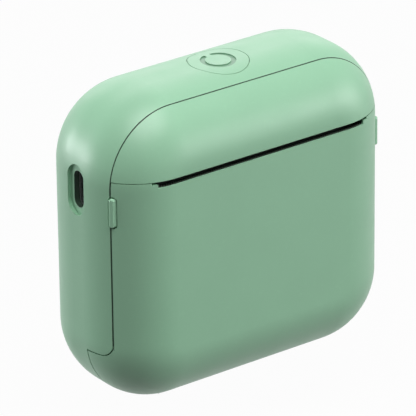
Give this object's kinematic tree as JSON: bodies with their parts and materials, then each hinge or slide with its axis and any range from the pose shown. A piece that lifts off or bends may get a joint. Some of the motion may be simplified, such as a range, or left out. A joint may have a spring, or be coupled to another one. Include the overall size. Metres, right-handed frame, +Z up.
{
  "type": "portable photo printer",
  "caption": "Pocket thermal photo printer: rounded case, cover that hinges down over the paper bay, tear slot, power button, charging socket and release tabs.",
  "frame": {"origin": "under the middle of the case, on the flat it stands on", "axes": "+X to the right seen from the front, +Y to the rear, +Z up"},
  "size_m": [0.084, 0.0384, 0.079],
  "materials": {
    "case_green": "satin moulded plastic, fine spark texture",
    "tab_green": "satin moulded plastic",
    "inner_plastic": "dark matte moulded plastic",
    "liner_plastic": "dark matte moulded plastic",
    "platen_rubber": "ground rubber",
    "steel": "ground steel",
    "spring_steel": "drawn wire",
    "zinc_screw": "zinc plated",
    "bush_nylon": "natural nylon",
    "gear_acetal": "white acetal",
    "brass": "turned brass",
    "motor_can": "drawn steel can",
    "head_ceramic": "glazed ceramic",
    "aluminium": "extruded",
    "flex_amber": "polyimide ribbon",
    "board_green": "solder mask",
    "chip_black": "moulded packages",
    "switch_black": "moulded",
    "socket_steel": "stamped steel",
    "tongue_black": "moulded with gold contacts",
    "battery_wrap": "foil pouch",
    "wire_sleeve": "wire sleeve"
  },
  "bodies": {
    "case": {"rear_shell": "case_green", "upper_fascia": "case_green", "chassis": "inner_plastic", "idler_pin": "steel", "compound_pin": "steel", "drive_motor": "motor_can", "motor_screws": "zinc_screw", "head_pivot_rod": "steel", "head_springs": "spring_steel", "head_flex": "flex_amber", "tab_spring_left": "spring_steel", "tab_spring_right": "spring_steel", "push_switch": "switch_black", "main_board": "board_green", "board_components": "chip_black", "board_screws": "zinc_screw", "charge_board": "board_green", "charge_screws": "zinc_screw", "socket_shell": "socket_steel", "socket_tongue": "tongue_black", "battery": "battery_wrap", "battery_leads": "wire_sleeve", "motor_leads": "wire_sleeve", "chassis_screws": "zinc_screw", "fascia_screws": "zinc_screw", "hinge_pins": "steel"},
    "cover": {"front_cover": "case_green", "tear_blade": "steel", "cover_liner": "liner_plastic", "platen_bushes": "bush_nylon", "paper_sensor": "switch_black", "liner_screws": "zinc_screw"},
    "platen": {"platen_roller": "platen_rubber", "platen_shaft": "steel", "platen_gear": "gear_acetal"},
    "idler": {"idler_gear": "gear_acetal"},
    "compound": {"compound_gear": "gear_acetal"},
    "pinion": {"motor_pinion": "brass", "motor_shaft": "steel"},
    "head": {"print_head": "head_ceramic", "head_heat_sink": "aluminium"},
    "tab_left": {"release_tab_left": "tab_green"},
    "tab_right": {"release_tab_right": "tab_green"},
    "button": {"power_button": "tab_green", "switch_plunger": "switch_black"}
  },
  "joints": [
    {"name": "cover_hinge", "type": "hinge", "parent": "case", "child": "cover", "pos_m": [0, -0.0019, 0.0022], "axis": [1, 0, 0], "range_deg": [0, 90]},
    {"name": "button_press", "type": "slide", "parent": "case", "child": "button", "axis": [0, 0, -1], "range_m": [0, 0.0004], "stiffness_N_per_m": 2000, "springref_m": -0.0006},
    {"name": "tab_left_press", "type": "slide", "parent": "case", "child": "tab_left", "axis": [1, 0, 0], "range_m": [0, 0.0008], "stiffness_N_per_m": 600, "springref_m": -0.0015, "deforming": ["tab_spring_left"]},
    {"name": "tab_right_press", "type": "slide", "parent": "case", "child": "tab_right", "axis": [-1, 0, 0], "range_m": [0, 0.0008], "stiffness_N_per_m": 600, "springref_m": -0.0015, "deforming": ["tab_spring_right"]},
    {"name": "head_tilt", "type": "hinge", "parent": "case", "child": "head", "pos_m": [0, -0.0024, 0.0482], "axis": [-1, 0, 0], "range_deg": [0, 2.5], "stiffness_Nm_per_rad": 0.2, "springref_deg": -6.88, "deforming": ["head_springs", "head_flex"]},
    {"name": "platen_spin", "type": "hinge", "parent": "cover", "child": "platen", "pos_m": [0, -0.0095, 0.056], "axis": [1, 0, 0], "continuous": true},
    {"name": "idler_spin", "type": "hinge", "parent": "case", "child": "idler", "pos_m": [0, -0.00039, 0.05729], "axis": [1, 0, 0], "continuous": true},
    {"name": "compound_spin", "type": "hinge", "parent": "case", "child": "compound", "pos_m": [0, -0.00079, 0.0497], "axis": [1, 0, 0], "continuous": true},
    {"name": "motor_spin", "type": "hinge", "parent": "case", "child": "pinion", "pos_m": [0, 0.0072, 0.046], "axis": [1, 0, 0], "continuous": true}
  ],
  "couplings": [
    {"joint": "idler_spin", "follows": "platen_spin", "ratio": -0.91667},
    {"joint": "compound_spin", "follows": "platen_spin", "ratio": 1.5714},
    {"joint": "motor_spin", "follows": "platen_spin", "ratio": -4.1905}
  ]
}
